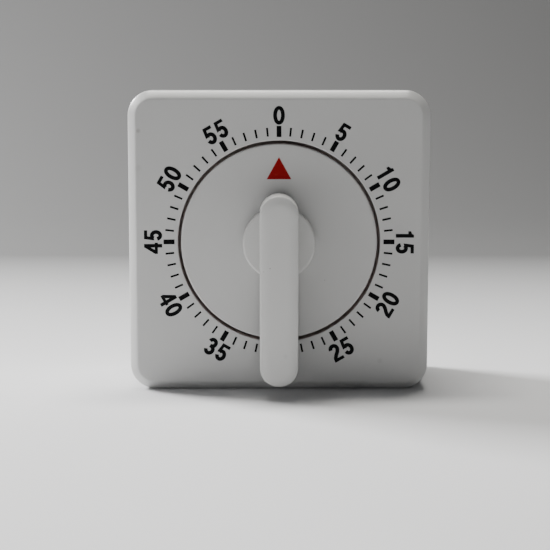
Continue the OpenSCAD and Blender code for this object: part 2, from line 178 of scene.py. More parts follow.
def finishMesh(piece, sharpAngle=32):
    shadeSmooth(piece.data, sharpAngle)
    weighted = piece.modifiers.new("weightedNormals", "WEIGHTED_NORMAL")
    weighted.keep_sharp = True
    mesh = evaluatedCopy(piece)
    piece.modifiers.clear()
    piece.data = mesh
    return piece


# A shader or geometry node with its sockets filled by values or by links
def addNode(tree, kind, inputs=None, **settings):
    node = tree.nodes.new(kind)
    for key, value in settings.items():
        setattr(node, key, value)
    for key, value in (inputs or {}).items():
        socket = node.inputs[key]
        if isinstance(value, bpy.types.NodeSocket):
            tree.links.new(value, socket)
        else:
            socket.default_value = value
    return node


def newMaterial(name, roughness=0.4, metallic=0.0, **shaderInputs):
    material = bpy.data.materials.new(name)
    material.use_nodes = True
    tree = material.node_tree
    shader = tree.nodes["Principled BSDF"]
    shader.inputs["Roughness"].default_value = roughness
    shader.inputs["Metallic"].default_value = metallic
    for key, value in shaderInputs.items():
        shader.inputs[key].default_value = value
    return material, tree, shader


def objectCoordinates(tree):
    return addNode(tree, "ShaderNodeTexCoord").outputs["Object"]


def noise(tree, coordinates, scale, detail=4.0, roughness=0.5):
    return addNode(tree, "ShaderNodeTexNoise", {
        "Vector": coordinates, "Scale": scale, "Detail": detail, "Roughness": roughness,
    }).outputs["Fac"]


def remap(tree, value, fromLow, fromHigh, toLow, toHigh):
    return addNode(tree, "ShaderNodeMapRange", {
        "Value": value, "From Min": fromLow, "From Max": fromHigh, "To Min": toLow, "To Max": toHigh,
    }).outputs["Result"]


def blendColours(tree, factor, first, second, blendType="MIX"):
    node = addNode(tree, "ShaderNodeMix", data_type="RGBA", blend_type=blendType)
    for index, value in ((0, factor), (6, first), (7, second)):
        if isinstance(value, bpy.types.NodeSocket):
            tree.links.new(value, node.inputs[index])
        else:
            node.inputs[index].default_value = value
    return node.outputs[2]


def math2(tree, operation, first, second):
    node = addNode(tree, "ShaderNodeMath", operation=operation)
    for index, value in enumerate((first, second)):
        if isinstance(value, bpy.types.NodeSocket):
            tree.links.new(value, node.inputs[index])
        else:
            node.inputs[index].default_value = value
    return node.outputs[0]


def bump(tree, shader, height, strength, distance):
    node = addNode(tree, "ShaderNodeBump", {"Height": height, "Strength": strength, "Distance": distance})
    tree.links.new(node.outputs["Normal"], shader.inputs["Normal"])


# White moulded plastic: faint mottling, fine surface texture, small dark specks and pale scuffs, and where asked,
# painted shade in the gap around the dial
def plasticMaterial(name, look):
    material, tree, shader = newMaterial(name, look["roughness"], **{"IOR": 1.5})
    place = objectCoordinates(tree)
    mottle = noise(tree, place, 55, 3)
    base = blendColours(tree, remap(tree, mottle, 0.3, 0.7, 0, 1), look["colour"], look["shade"])
    dots = addNode(tree, "ShaderNodeTexVoronoi", {"Vector": place, "Scale": look["speckScale"]})
    near = remap(tree, dots.outputs["Distance"], look["speckSize"], look["speckSize"] * 1.5, 1, 0)
    chosen = remap(tree, addNode(tree, "ShaderNodeSeparateColor", {
        "Color": dots.outputs["Color"]}).outputs[0], look["speckShare"], look["speckShare"] + 0.01, 1, 0)
    specks = math2(tree, "MULTIPLY", near, chosen)
    base = blendColours(tree, math2(tree, "MULTIPLY", specks, 0.6), base, look["speckColour"])
    for mark in look.get("marks", ()):
        base = addMark(tree, place, base, mark)
    # Painted shade in the narrow gap between the dial and the case
    if "well" in look:
        base = darkenWell(tree, place, base, look["well"])
    tree.links.new(base, shader.inputs["Base Color"])
    sheen = noise(tree, place, 120, 5)
    rough = remap(tree, sheen, 0.3, 0.7, look["roughness"] - 0.015, look["roughness"] + 0.02)
    tree.links.new(rough, shader.inputs["Roughness"])
    bump(tree, shader, noise(tree, place, 1500, 3), 0.22, 0.00006)
    return material


# Distance from the axis through a centre, and depth behind it, as sockets
def flatDistance(tree, place, centre):
    offset = addNode(tree, "ShaderNodeVectorMath", {0: place, 1: centre}, operation="SUBTRACT").outputs[0]
    parts = addNode(tree, "ShaderNodeSeparateXYZ", {0: offset})
    flat = addNode(tree, "ShaderNodeCombineXYZ", {0: parts.outputs["X"], 1: parts.outputs["Z"]})
    length = addNode(tree, "ShaderNodeVectorMath", {0: flat.outputs[0]}, operation="LENGTH")
    return length.outputs["Value"], parts.outputs["Y"]


# One small stain or scuff on the front, centred at a place in the dial's own millimetres
def addMark(tree, place, base, mark):
    x, y, radius, strength = mark
    centre = (dialAxis.x + x / 1000, 0, dialAxis.z + y / 1000)
    distance, depth = flatDistance(tree, place, centre)
    soft = remap(tree, distance, radius / 2500, radius / 700, strength, 0)
    front = remap(tree, depth, 0, 0.0005, 1, 0)
    return blendColours(tree, math2(tree, "MULTIPLY", soft, front), base, stainColour)


# Painted shade in the narrow gap around the dial: inside the well radius and below the face the colour is darkened
# to a brownish grey
def darkenWell(tree, place, base, well):
    radius, depth = flatDistance(tree, place, dialAxis)
    inside = remap(tree, radius, well["radius"], well["radius"] + 0.00012, 1, 0)
    below = remap(tree, depth, well["from"], well["to"], 0, 1)
    shallow = remap(tree, depth, well["deepest"], well["deepest"] + 0.0005, 1, 0)
    outer = remap(tree, radius, well["inner"] - 0.0002, well["inner"], 0, 1)
    across = math2(tree, "MULTIPLY", inside, outer)
    mask = math2(tree, "MULTIPLY", across, math2(tree, "MULTIPLY", below, shallow))
    return blendColours(tree, mask, base, well["colour"])


# Worked metal: drawn grain in the roughness and bump, and a slight tarnish
def metalMaterial(name, colour, shade, roughness, grain, stretch=(1, 1, 1)):
    material, tree, shader = newMaterial(name, roughness, 1.0)
    place = objectCoordinates(tree)
    drawn = addNode(tree, "ShaderNodeMapping", {"Vector": place, "Scale": stretch}).outputs[0]
    lines = noise(tree, drawn, grain, 5, 0.6)
    tarnish = remap(tree, noise(tree, place, 60, 2), 0.3, 0.75, 0, 0.6)
    tree.links.new(blendColours(tree, tarnish, colour, shade), shader.inputs["Base Color"])
    rough = remap(tree, lines, 0.25, 0.75, roughness - 0.03, roughness + 0.05)
    tree.links.new(rough, shader.inputs["Roughness"])
    bump(tree, shader, lines, 0.05, 0.00001)
    return material


# Pad-printed ink, a little uneven, with pin holes where it is thin
def printMaterial(name, colour, worn, roughness):
    material, tree, shader = newMaterial(name, roughness, **{"Specular IOR Level": 0.1})
    place = objectCoordinates(tree)
    thin = remap(tree, noise(tree, place, 900, 4), 0.58, 0.8, 0, 0.5)
    tree.links.new(blendColours(tree, thin, colour, worn), shader.inputs["Base Color"])
    rough = remap(tree, noise(tree, place, 400, 2), 0.3, 0.7, roughness - 0.05, roughness + 0.08)
    tree.links.new(rough, shader.inputs["Roughness"])
    bump(tree, shader, noise(tree, place, 2500, 2), 0.15, 0.00002)
    return material


stainColour = (0.2, 0.17, 0.15, 1)
plasticLook = {
    "colour": (0.63, 0.63, 0.622, 1),
    "shade": (0.62, 0.621, 0.614, 1),
    "roughness": 0.3,
    "speckScale": 260,
    "speckSize": 0.05,
    "speckShare": 0.02,
    "speckColour": (0.28, 0.26, 0.23, 1),
}
# Painted shade for the gap around the dial: where it lies and its brownish grey colour
wellShadeLook = {
    "radius": (dialHigh[0] - dialLow[0]) / 2 + 0.00084,
    "inner": (dialHigh[0] - dialLow[0]) / 2 - 0.0004,
    "from": 0.0001,
    "to": 0.00035,
    "deepest": 0.0055,
    "colour": (0.6, 0.52, 0.5, 1),
}
caseMarks = [(-35.2, 27.9, 0.5, 0.35), (-35.3, 18.6, 0.8, 0.1), (25.7, -30.4, 0.6, 0.12)]
leverMarks = [(-2.2, -5.2, 0.14, 0.8), (1.6, -27, 0.5, 0.1)]
# The same painted gap shade on the dial's edge, with a longer ramp below the face
dialWellShade = {**wellShadeLook, "to": 0.0005}
casePlastic = plasticMaterial("case_plastic", {**plasticLook, "well": wellShadeLook, "marks": caseMarks})
dialPlastic = plasticMaterial("dial_plastic", {**plasticLook, "well": dialWellShade})
leverPlastic = plasticMaterial("lever_plastic", {
    **plasticLook, "colour": (0.66, 0.66, 0.648, 1), "shade": (0.65, 0.65, 0.639, 1), "marks": leverMarks})
blackInk = printMaterial("black_ink", (0.0015, 0.0015, 0.002, 1), (0.02, 0.02, 0.02, 1), 0.55)
redInk = printMaterial("red_ink", (0.30, 0.004, 0.006, 1), (0.42, 0.03, 0.025, 1), 0.5)
brass = metalMaterial("brass", (0.8, 0.62, 0.32, 1), (0.72, 0.54, 0.26, 1), 0.34, 1500, (1, 1, 40))
brightSteel = metalMaterial(
    "bright_steel", (0.62, 0.63, 0.65, 1), (0.56, 0.56, 0.57, 1), 0.33, 2500, (1, 8, 1))
zincPlate = metalMaterial("zinc_plate", (0.66, 0.67, 0.68, 1), (0.6, 0.6, 0.59, 1), 0.36, 1500)
springSteel = metalMaterial("spring_steel", (0.14, 0.17, 0.27, 1), (0.18, 0.16, 0.2, 1), 0.28, 1800)
bellNickel = metalMaterial("bell_nickel", (0.74, 0.72, 0.68, 1), (0.68, 0.66, 0.62, 1), 0.2, 1200, (1, 5, 1))
print("materials made")

# The front half of the case, its well, bosses and posts
frontCase = {
    "half": inMillimetres(caseHigh[0] - caseLow[0]) / 2,
    "depth": inMillimetres(caseHigh[1] - caseLow[1]),
    "corner": 6.4,
    "edge": 2.3,
    "seam": 0.12,
    "wall": 2.2,
    "frontWall": 2.4,
    "wellRadius": inMillimetres(dialHigh[0] - dialLow[0]) / 2 + 0.8,
    "wellRim": 0.2,
    "wellDepth": 5.0,
    "floorWall": 1.8,
    "floorRound": 0.5,
    "wellSkirt": 27.3,
    "hole": 3.0,
    "edgeSteps": 10,
    "bevelSteps": 20,
    "bossAt": 31.4,
    "bossRadius": 4.4,
    "bossBore": 1.5,
    "posts": ((-21.5, 22.5), (21.5, 22.5), (0, -31.5)),
    "postRadius": 2.8,
    "postBore": 1.15,
    "postEnd": -9,
    "buriedTop": -1.2,
    "stopPostAt": (0, -21),
    "stopPostRadius": 0.6,
    "stopPostTop": -3,
}


# Rings of a rounded square that follow (inset, z) steps
def squareRings(half, corner, steps):
    return [roundedSquareRing(half - inset, max(corner - inset, 0.4), z) for inset, z in steps]


# Inset and depth of a moulded edge: nearly a flat bevel in its middle, rounded into the side and the front
def softBevel(edge, steps, front):
    inset, rise = [0], [0]
    for k in range(steps):
        u = (2 * k + 1) / steps - 1
        slope = math.radians(45 + 45 * (0.12 * u + 0.88 * u ** 7))
        inset.append(inset[-1] + math.sin(slope))
        rise.append(rise[-1] + math.cos(slope))
    return [(edge * a / inset[-1], front - edge * (1 - b / rise[-1])) for a, b in zip(inset, rise)]


def makeFrontCase(size):
    half, corner, edge = size["half"], size["corner"], size["edge"]
    angles = [math.atan2(y, x) for x, y, z in roundedSquareRing(half, corner, 0)]
    outside = [(size["seam"], -size["depth"]), (0, -size["depth"] + size["seam"])]
    outside += softBevel(edge, size["bevelSteps"], 0)
    outside += [(edge + 0.1, 0), (edge + 0.8, 0)]
    rings = squareRings(half, corner, outside)
    well, rim = size["wellRadius"], size["wellRim"]
    floor, fillet, hole, skirt = size["wellDepth"], size["floorRound"], size["hole"], size["wellSkirt"]
    under = -floor - size["floorWall"]
    lip = arcPoints((well + rim, -rim), rim, 90, 180, 5)
    profile = [(well + 2.4, 0), (well + rim + 0.25, 0)] + lip
    profile.append((well, -floor + fillet))
    profile += arcPoints((well - fillet, -floor + fillet), fillet, 0, -90, 4)[1:]
    profile += [(hole + 0.2, -floor), (hole, -floor - 0.2), (hole, under)]
    profile += [(skirt, under), (skirt, -size["frontWall"])]
    rings += [circleRing(r, z, angles) for r, z in profile]
    wall = size["wall"]
    inside = [(wall + 0.6, -size["frontWall"]), (wall, -size["frontWall"] - 0.6), (wall, -size["depth"])]
    rings += squareRings(half, corner, inside)
    bm = bmesh.new()
    addLoft(bm, rings, closedLoop=True)
    top = size["buriedTop"]
    for x, y in cornerSigns:
        place = (x * size["bossAt"], y * size["bossAt"])
        addTube(bm, place, size["bossRadius"], size["bossBore"], -size["depth"], top)
    for post in size["posts"]:
        addTube(bm, post, size["postRadius"], size["postBore"], size["postEnd"], top)
    r, end = size["stopPostRadius"], size["stopPostTop"]
    outline = [(0, -floor - 0.5), (r, -floor - 0.5), (r, end - 0.15), (r - 0.15, end), (0, end)]
    addLathe(bm, outline, 24, False, size["stopPostAt"])
    return meshFromBmesh("frontCase", bm, casePlastic)


# A boss with a blind hole from its low end, its high end buried in the wall
def addTube(bm, centre, outer, bore, low, high):
    outline = [(bore, low), (outer - 0.15, low), (outer, low + 0.15), (outer, high), (0.01, high)]
    outline += [(0.01, high - 1.6), (bore, high - 2.6)]
    addLathe(bm, outline, 40, True, centre)


caseBody = addObject("frontCase", standOnBench(makeFrontCase(frontCase)))
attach(caseBody, "root")
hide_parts("front_case")
print("front case made")

# The rear cover with its sound slots and screw pockets
rearCover = {
    "half": frontCase["half"],
    "back": -inMillimetres(coverHigh[1] - caseLow[1]),
    "split": -frontCase["depth"],
    "slotCount": 5,
    "slotPitch": 5,
    "slotHalfLength": 12,
    "slotWidth": 2,
    "slotFlare": 0.35,
    "bossRadius": 4.5,
    "screwHole": 1.7,
    "pocketRadius": 3.1,
    "pocketDepth": 2.4,
    "pocketFlare": 0.25,
    "ribThickness": 1.4,
    "ribLength": 40,
    "ribReach": 2.5,
}


def makeRearCover(size):
    half, corner, edge, wall = size["half"], frontCase["corner"], frontCase["edge"], frontCase["wall"]
    back = size["back"]
    turn = [math.radians(90 * k / frontCase["edgeSteps"]) for k in range(frontCase["edgeSteps"] + 1)]
    outside = [(frontCase["seam"], size["split"]), (0, size["split"] - frontCase["seam"])]
    outside += [(edge * (1 - math.cos(a)), back + edge - edge * math.sin(a)) for a in turn]
    outside.append((edge + 0.8, back))
    inside = [(wall + 0.6, back + wall), (wall, back + wall + 0.6), (wall, size["split"])]
    bm = bmesh.new()
    rings = squareRings(half, corner, outside)
    innerRings = squareRings(half, corner, inside)
    middle = [roundedSquareRing(0.5, 0.2, z) for z in (back, back + wall)]
    addLoft(bm, rings + [middle[0]], closedLoop=False)
    shell = addObject("rearCover", meshFromBmesh("rearCover", bm, casePlastic))
    bm = bmesh.new()
    addLoft(bm, [middle[1]] + innerRings + [roundedSquareRing(half - wall, corner - wall, size["split"] + 2)])
    combine(shell, addObject("hollow", meshFromBmesh("hollow", bm, casePlastic)), "DIFFERENCE")
    bm = bmesh.new()
    at, split, radius = frontCase["bossAt"], size["split"], size["bossRadius"]
    outline = [(0.01, split), (radius, split), (radius, back + 1), (0.01, back + 1)]
    for x, y in cornerSigns:
        addLathe(bm, outline, 48, True, (x * at, y * at))
    for quarter in range(4):
        addRib(bm, size, quarter, half - wall - 0.2, back + 1)
    combine(shell, addObject("bosses", meshFromBmesh("bosses", bm, casePlastic)), "UNION")
    bm = bmesh.new()
    pocket, radius, flare = back + size["pocketDepth"], size["pocketRadius"], size["pocketFlare"]
    outline = [(0.01, back - 1), (radius + flare, back - 1), (radius + flare, back), (radius, back + flare)]
    outline += [(radius, pocket), (size["screwHole"], pocket)]
    outline += [(size["screwHole"], split + 1), (0.01, split + 1)]
    for x, y in cornerSigns:
        addLathe(bm, outline, 64, True, (x * at, y * at))
    for k in range(size["slotCount"]):
        addSlot(bm, size, (k - (size["slotCount"] - 1) / 2) * size["slotPitch"])
    combine(shell, addObject("cuts", meshFromBmesh("cuts", bm, casePlastic)), "DIFFERENCE")
    return finishMesh(shell)


# The locating rib along one side, which slips inside the front half
def addRib(bm, size, quarter, outer, low):
    thick, high = size["ribThickness"], size["split"] + size["ribReach"]
    turn = Matrix.Rotation(math.radians(90 * quarter), 3, "Z")
    box = bmesh.ops.create_cube(bm, size=1)["verts"]
    bmesh.ops.scale(bm, vec=(thick, size["ribLength"], high - low), verts=box)
    bmesh.ops.translate(bm, vec=(outer - thick / 2, 0, (low + high) / 2), verts=box)
    bmesh.ops.rotate(bm, cent=(0, 0, 0), matrix=turn, verts=box)


# A round-ended cutter for one sound slot, flared at the outer face
def addSlot(bm, size, y):
    back, inside, radius = size["back"], frontCase["wall"] + 1, size["slotWidth"] / 2
    reach, wide = size["slotHalfLength"] - radius, radius + size["slotFlare"]
    rings = []
    for r, z in ((wide, back - 0.4), (wide, back - 0.05), (radius, back + 0.3), (radius, back + inside)):
        right = arcPoints((reach, y), r, -90, 90, 12)
        left = arcPoints((-reach, y), r, 90, 270, 12)
        rings.append([(px, py, z) for px, py in right + left])
    addLoft(bm, rings)


coverBody = makeRearCover(rearCover)
standOnBench(coverBody.data)
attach(coverBody, "root")
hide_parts("rear_cover")
print("rear cover made")

# The disc that turns in the well, with the tab that meets the stop post
dialDisc = {
    "radius": inMillimetres(dialHigh[0] - dialLow[0]) / 2,
    "face": -inMillimetres(dialLow[1] - caseLow[1]),
    "skirt": 4.2,
    "skirtWall": 1.8,
    "plate": 1.8,
    "rim": 0.4,
    "bore": 2.03,
    "boss": 4.6,
    "bossEnd": -4.4,
    "innerFace": 10,
    "stopRadius": 20.3,
    "tab": (0.9, 3.4),
    "tabMiddle": -2.9,
    "stopStep": 3,
}


def makeDialDisc(size):
    r, face, rim = size["radius"], size["face"], size["rim"]
    inner = r - size["skirtWall"]
    under = face - size["plate"]
    outline = [(size["bore"], size["bossEnd"]), (size["boss"], size["bossEnd"]), (size["boss"], under - 0.6)]
    outline += [(size["boss"] + 0.6, under), (inner - 0.4, under), (inner, under - 0.4)]
    outline += [(inner, -size["skirt"]), (r - 0.15, -size["skirt"]), (r, -size["skirt"] + 0.15)]
    outline += arcPoints((r - rim, face - rim), rim, 0, 90, 6)
    outline += [(r - rim - 0.5, face), (size["innerFace"], face), (size["bore"], face)]
    bm = bmesh.new()
    addLathe(bm, outline, 208)
    tab = bmesh.ops.create_cube(bm, size=1)["verts"]
    reach, stop = inner + 0.4, size["stopRadius"]
    bmesh.ops.scale(bm, vec=(reach - stop, *size["tab"]), verts=tab)
    bmesh.ops.translate(bm, vec=((reach + stop) / 2, 0, size["tabMiddle"]), verts=tab)
    turn = Matrix.Rotation(math.radians(270 - size["stopStep"]), 3, "Z")
    bmesh.ops.rotate(bm, cent=(0, 0, 0), matrix=turn, verts=tab)
    return meshFromBmesh("dialDisc", bm, dialPlastic)


disc = addObject("dialDisc", standOnBench(makeDialDisc(dialDisc)))
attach(disc, "dial")
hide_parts("dial_disc")
print("dial disc made")

# The lever and its hub, one moulding
lever = {
    "halfWidth": 4.85,
    "top": -inMillimetres(dialAxis[2] - handleHigh[2]),
    "bottom": inMillimetres(dialAxis[2] - handleLow[2]),
    "under": 1.6,
    "front": -inMillimetres(handleLow[1] - caseLow[1]),
    "edge": 0.4,
    "edgeTurn": 70,
    "crown": 0.5,
    "crownReach": 2.6,
    "crownSteps": 12,
    "crownPower": 2.4,
    "draft": 0.12,
    "hubRadius": inMillimetres(handleHigh[0] - handleLow[0]) / 2,
    "hubFront": 4.2,
    "hubEdge": 0.6,
    "pocketHalf": 2.9,
    "pocketTop": 11.2,
    "pocketWall": 1.8,
    "bore": 2.03,
    "boreTop": 8.1,
}


def stadiumRing(inset, z, size, arcSteps=28, sideSteps=10):
    w = size["halfWidth"]
    high, low = size["top"] - w, -size["bottom"] + w
    radius = max(w - inset, 0.0)
    points = arcPoints((0, high), radius, 0, 180, arcSteps)
    points += [(-radius, high + (low - high) * k / sideSteps) for k in range(1, sideSteps)]
    points += arcPoints((0, low), radius, 180, 360, arcSteps)
    points += [(radius, low + (high - low) * k / sideSteps) for k in range(1, sideSteps)]
    return [(x, y, z) for x, y in points]


def makeLever(size):
    edge, front, crown, w = size["edge"], size["front"], size["crown"], size["halfWidth"]
    rise = [math.radians(size["edgeTurn"] * k / 6) for k in range(1, 7)]
    shoulder = front - crown
    steps = [(w, size["under"]), (0.35, size["under"]), (0.08, size["under"] + 0.2)]
    steps += [(0, size["under"] + 0.6), (size["draft"], shoulder - edge)]
    draft, turned = size["draft"], shoulder - edge
    steps += [(draft + edge * (1 - math.cos(a)), turned + edge * math.sin(a)) for a in rise]
    start, low = steps[-1]
    for k in range(1, size["crownSteps"] + 1):
        share = k / size["crownSteps"]
        lift = 1 - (1 - share) ** size["crownPower"]
        steps.append((start + size["crownReach"] * share, low + (front - low) * lift))
    steps += [(w - 0.8, front), (w, front)]
    bm = bmesh.new()
    addLoft(bm, [stadiumRing(inset, z, size) for inset, z in steps], capped=False)
    bar = addObject("dialLever", meshFromBmesh("dialLever", bm, leverPlastic))
    bm = bmesh.new()
    r, top, soft = size["hubRadius"], size["hubFront"], size["hubEdge"]
    outline = [(0, dialDisc["face"]), (r - 0.1, dialDisc["face"]), (r, dialDisc["face"] + 0.1)]
    outline += arcPoints((r - soft, top - soft), soft, 0, 90, 6) + [(r - soft - 1, top), (0, top)]
    addLathe(bm, outline, 128, False)
    combine(bar, addObject("hub", meshFromBmesh("hub", bm, leverPlastic)), "UNION")
    bm = bmesh.new()
    low = size["bottom"] - size["pocketWall"]
    pocket = {"halfWidth": size["pocketHalf"], "top": -r - 1, "bottom": low}
    addLoft(bm, [stadiumRing(inset, z, pocket, 10, 1) for inset, z in ((0, 0), (0.3, size["pocketTop"]))])
    bore, boreTop = size["bore"], size["boreTop"]
    addLathe(bm, [(0, -1), (bore, -1), (bore, boreTop), (0, boreTop)], 48, False)
    combine(bar, addObject("pocket", meshFromBmesh("pocket", bm, leverPlastic)), "DIFFERENCE")
    return finishMesh(bar)


leverBody = makeLever(lever)
standOnBench(leverBody.data)
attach(leverBody, "dial")
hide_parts("handle")
print("lever made")

# The printed scale: ticks by geometry nodes, numbers and the red pointer as thin raised ink
printing = {
    "height": 0.03,
    "sunk": 0.05,
    "layer": 0.0015,
    "tickCount": 60,
    "majorWidth": 1.2,
    "majorLow": 26.35,
    "majorHigh": 29.12,
    "minorWidth": 0.5,
    "minorLow": 26.6,
    "minorHigh": 28.8,
    "numberHeight": 4.58,
    "numberRadius": 31.75,
    "digitPitch": 0.71,
}


# Every tick is one thin block on a circle of points; each fifth one is longer and wider
def tickTree(size):
    tree = bpy.data.node_groups.new("scale_ticks", "GeometryNodeTree")
    sockets = {}
    for label in ("Tick Count", "Major Width", "Major Low", "Major High",
                  "Minor Width", "Minor Low", "Minor High", "Thickness", "Sunk"):
        kind = "NodeSocketInt" if label == "Tick Count" else "NodeSocketFloat"
        sockets[label] = tree.interface.new_socket(label, in_out="INPUT", socket_type=kind)
    tree.interface.new_socket("Geometry", in_out="OUTPUT", socket_type="NodeSocketGeometry")
    given = tree.nodes.new("NodeGroupInput").outputs
    result = tree.nodes.new("NodeGroupOutput")
    index = addNode(tree, "GeometryNodeInputIndex").outputs[0]
    step = math2(tree, "DIVIDE", 2 * math.pi, given["Tick Count"])
    turn = addNode(tree, "ShaderNodeCombineXYZ", {"Z": math2(tree, "MULTIPLY", index, step)}).outputs[0]
    fifth = math2(tree, "MODULO", index, 5.0)
    isMajor = addNode(tree, "FunctionNodeCompare", {"A": fifth, "B": 0.5}, operation="LESS_THAN").outputs[0]
    isMinor = addNode(tree, "FunctionNodeBooleanMath", {0: isMajor}, operation="NOT").outputs[0]
    joined = addNode(tree, "GeometryNodeJoinGeometry")
    for label, chosen in (("Major", isMajor), ("Minor", isMinor)):
        low, high = given[label + " Low"], given[label + " High"]
        length = math2(tree, "SUBTRACT", high, low)
        middle = math2(tree, "MULTIPLY", math2(tree, "ADD", low, high), 0.5)
        thick = math2(tree, "ADD", given["Thickness"], given["Sunk"])
        block = addNode(tree, "ShaderNodeCombineXYZ", {"X": length, "Y": given[label + " Width"], "Z": thick})
        cube = addNode(tree, "GeometryNodeMeshCube", {"Size": block.outputs[0]})
        ring = addNode(tree, "GeometryNodeMeshCircle", {"Vertices": given["Tick Count"], "Radius": middle})
        placed = addNode(tree, "GeometryNodeInstanceOnPoints", {
            "Points": ring.outputs[0], "Selection": chosen, "Instance": cube.outputs[0], "Rotation": turn})
        tree.links.new(placed.outputs[0], joined.inputs[0])
    drop = math2(tree, "MULTIPLY", math2(tree, "SUBTRACT", given["Thickness"], given["Sunk"]), 0.5)
    raised = addNode(tree, "GeometryNodeTransform", {
        "Geometry": joined.outputs[0],
        "Translation": addNode(tree, "ShaderNodeCombineXYZ", {"Z": drop}).outputs[0]})
    real = addNode(tree, "GeometryNodeRealizeInstances", {"Geometry": raised.outputs[0]})
    inked = addNode(tree, "GeometryNodeSetMaterial", {"Geometry": real.outputs[0], "Material": blackInk})
    tree.links.new(inked.outputs[0], result.inputs[0])
    values = {
        "Tick Count": size["tickCount"], "Major Width": size["majorWidth"], "Major Low": size["majorLow"],
        "Major High": size["majorHigh"], "Minor Width": size["minorWidth"], "Minor Low": size["minorLow"],
        "Minor High": size["minorHigh"], "Thickness": size["height"], "Sunk": size["sunk"],
    }
    return tree, {sockets[label].identifier: value for label, value in values.items()}


# A plain mesh object made by one geometry nodes tree
def growFromNodes(name, tree, values):
    piece = addObject(name, bpy.data.meshes.new(name))
    maker = piece.modifiers.new("maker", "NODES")
    maker.node_group = tree
    for identifier, value in values.items():
        maker[identifier] = value
    mesh = evaluatedCopy(piece)
    piece.modifiers.clear()
    piece.data = mesh
    return piece


ticks = growFromNodes("scaleTicks", *tickTree(printing))
standOnBench(ticks.data)
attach(ticks, "root")

# A digit is a list of strokes in units of its height: "line" is a ribbon of ink along its points with
# square ends, "loop" is a ribbon closed on itself and "shape" is a filled outline. Ribbons are stroke wide.
stroke = 0.21


def ovalLoop():
    loop = []
    for k in range(48):
        c, s = math.cos(2 * math.pi * k / 48), math.sin(2 * math.pi * k / 48)
        loop.append((0.213 * math.copysign(abs(c) ** 0.92, c), 0.5 + 0.402 * s))
    return loop


digits = {
    "0": [("loop", ovalLoop())],
    "1": [("shape", [(0.12, 0), (0.12, 1), (-0.035, 1), (-0.09, 0.89), (-0.235, 0.84),
                     (-0.235, 0.69), (-0.085, 0.69), (-0.085, 0)])],
    "2": [("line", ovalArc((0, 0.705), 0.192, 0.197, 176, -24) + [
              (0.09, 0.49), (-0.06, 0.35), (-0.165, 0.21), (-0.195, 0.05)]),
          ("shape", [(-0.295, 0), (0.29, 0), (0.29, 0.175), (-0.27, 0.175)])],
    "3": [("line", ovalArc((-0.005, 0.712), 0.178, 0.19, 170, -90) + [(-0.07, 0.522)]),
          ("line", [(-0.07, 0.518)] + ovalArc((0, 0.308), 0.192, 0.21, 90, -168))],
    "4": [("shape", [(0.045, 0), (0.24, 0), (0.24, 1), (0.045, 1)]),
          ("shape", [(-0.31, 0.24), (0.31, 0.24), (0.31, 0.41), (-0.31, 0.41)]),
          ("shape", [(-0.31, 0.39), (-0.09, 0.39), (0.07, 0.68), (0.2, 0.8), (0.2, 1), (0.055, 1)])],
    "5": [("shape", [(-0.205, 0.82), (0.285, 0.82), (0.285, 1), (-0.19, 1)]),
          ("shape", [(-0.275, 0.43), (-0.1, 0.46), (-0.015, 1), (-0.2, 1)]),
          ("line", ovalArc((-0.002, 0.335), 0.194, 0.235, 142, -165))],
}


def normalAt(points, k, closed):
    last = len(points) - 1
    before = points[k - 1] if closed or k else points[k]
    after = points[(k + 1) % len(points)] if closed or k < last else points[k]
    along = Vector((after[0] - before[0], after[1] - before[1])).normalized()
    return Vector((-along.y, along.x))


# A ribbon of ink of even width along the points
def addInkStroke(bm, points, closed, place, top, bottom):
    edges = []
    for k, point in enumerate(points):
        side = normalAt(points, k, closed) * stroke / 2
        edges.append((Vector(point) + side, Vector(point) - side))
    rows = [[place(a, top), place(b, top), place(b, bottom), place(a, bottom)] for a, b in edges]
    addLoft(bm, rows, closed)


def addInkShape(bm, corners, place, top, bottom):
    high = [bm.verts.new(place(Vector(c), top)) for c in corners]
    low = [bm.verts.new(place(Vector(c), bottom)) for c in corners]
    bm.faces.new(high)
    bm.faces.new(low[::-1])
    for k in range(len(corners)):
        n = (k + 1) % len(corners)
        bm.faces.new((low[k], low[n], high[n], high[k]))


def makeNumbers(size):
    bm = bmesh.new()
    for minute in range(0, 60, 5):
        bearing = math.radians(90 - minute * 6)
        upright = minute if not 16 < minute < 44 else minute - 30
        tilt = math.radians(-upright * 6)
        middle = Vector((math.cos(bearing), math.sin(bearing))) * size["numberRadius"]
        label = str(minute)
        for k, digit in enumerate(label):
            shift = (k - (len(label) - 1) / 2) * size["digitPitch"]

            def place(point, z, shift=shift):
                flat = Vector((point[0] + shift, point[1] - 0.5)) * size["numberHeight"]
                flat.rotate(Matrix.Rotation(tilt, 2))
                return (middle.x + flat.x, middle.y + flat.y, z)

            for order, (kind, points) in enumerate(digits[digit]):
                top = size["height"] - order * size["layer"]
                if kind == "shape":
                    addInkShape(bm, points, place, top, -size["sunk"])
                else:
                    addInkStroke(bm, points, kind == "loop", place, top, -size["sunk"])
    return meshFromBmesh("scaleNumbers", bm, blackInk)


numbers = addObject("scaleNumbers", standOnBench(makeNumbers(printing)))
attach(numbers, "root")

pointer = {"tip": 21.35, "base": 15.8, "halfWidth": 3.1}


def makePointer(size):
    bm = bmesh.new()
    face = dialDisc["face"]
    corners = [(-size["halfWidth"], size["base"]), (size["halfWidth"], size["base"]), (0, size["tip"])]
    addInkShape(bm, corners, lambda p, z: (p.x, p.y, face + z), printing["height"], -printing["sunk"])
    return meshFromBmesh("redPointer", bm, redInk)


redPointer = addObject("redPointer", standOnBench(makePointer(pointer)))
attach(redPointer, "dial")
print("scale and pointer printed")

